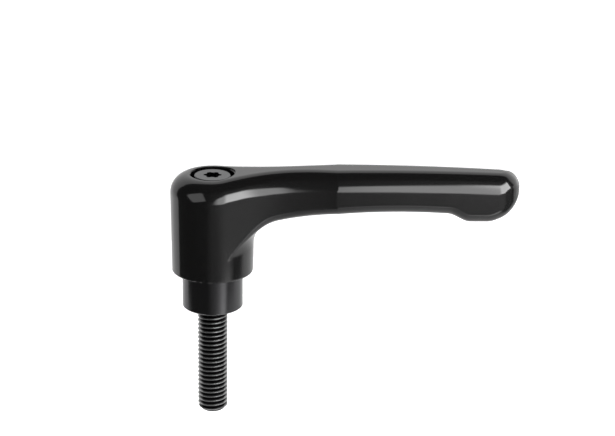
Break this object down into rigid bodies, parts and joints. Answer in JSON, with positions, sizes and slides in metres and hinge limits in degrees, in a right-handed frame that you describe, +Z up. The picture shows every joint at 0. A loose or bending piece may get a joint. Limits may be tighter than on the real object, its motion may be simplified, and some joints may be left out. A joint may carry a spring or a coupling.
{
  "type": "adjustable clamping lever",
  "caption": "Adjustable clamping lever: a die-cast arm and hub on a serrated, spring-loaded steel insert with a male threaded stud.",
  "frame": {"origin": "on the stud's axis, at the centre of the insert's lower clamping face", "axes": "+Z up along the stud's axis, from the stud to the hub; +X from the hub along the arm; the stud points down along -Z"},
  "size_m": [0.0917, 0.0224, 0.0691],
  "materials": {
    "handle_coating": "black semi-gloss coating on a zinc die casting",
    "insert_steel": "black oxide, satin, turned",
    "stud_steel": "black oxide, satin, rolled thread",
    "screw_steel": "black oxide, satin",
    "spring_steel": "bare spring wire"
  },
  "bodies": {
    "insert": {"serrated_insert": "insert_steel", "threaded_stud": "stud_steel", "retaining_screw": "screw_steel"},
    "spring": {"spring": "spring_steel"},
    "handle": {"handle": "handle_coating"}
  },
  "joints": [
    {"name": "handle_turn", "type": "hinge", "parent": "insert", "child": "spring", "pos_m": [0, 0, 0.0232], "axis": [0, 0, 1], "continuous": true},
    {"name": "handle_lift", "type": "slide", "parent": "spring", "child": "handle", "axis": [0, 0, 1], "range_m": [0, 0.0045], "stiffness_N_per_m": 2500, "springref_m": -0.0032, "deforming": ["spring"]}
  ]
}
